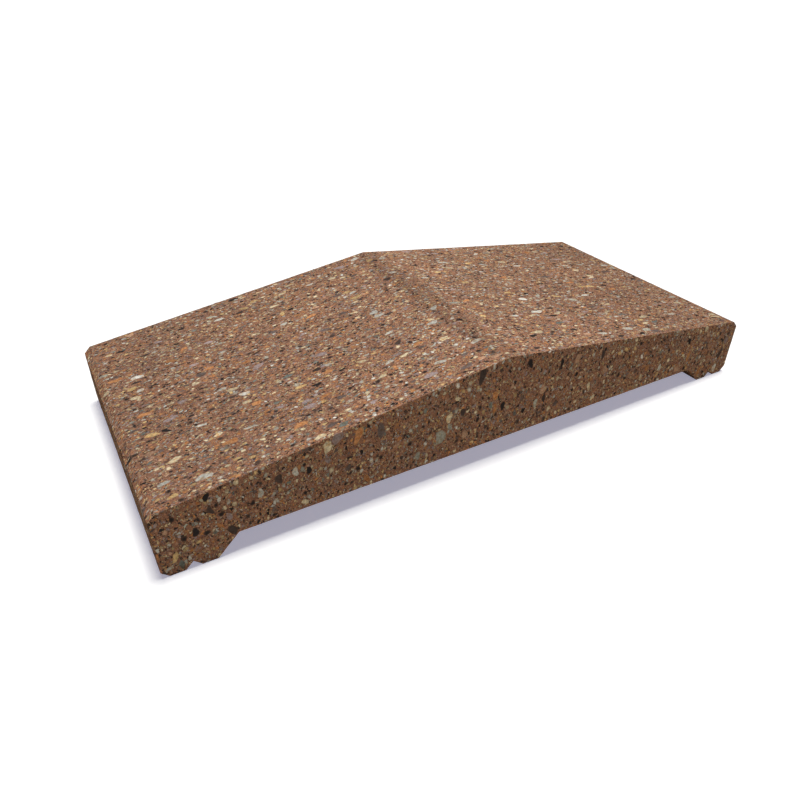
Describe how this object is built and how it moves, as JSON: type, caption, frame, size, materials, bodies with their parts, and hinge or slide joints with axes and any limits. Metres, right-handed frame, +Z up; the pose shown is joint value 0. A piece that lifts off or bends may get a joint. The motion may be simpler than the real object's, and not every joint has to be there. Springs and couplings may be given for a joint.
{
  "type": "coping block",
  "caption": "Saddle-backed wall coping block in exposed-aggregate concrete, with shallow roof slopes, small chamfers, and feet with drip grooves along its long sides.",
  "frame": {"origin": "under the middle of the block, on the plane of the feet's undersides", "axes": "+X across the wall, +Y along the wall and the ridge, +Z up"},
  "size_m": [0.45, 0.2, 0.075],
  "materials": {
    "exposed_aggregate_concrete": "matte"
  },
  "bodies": {
    "root": {"coping_block": "exposed_aggregate_concrete"}
  },
  "joints": []
}
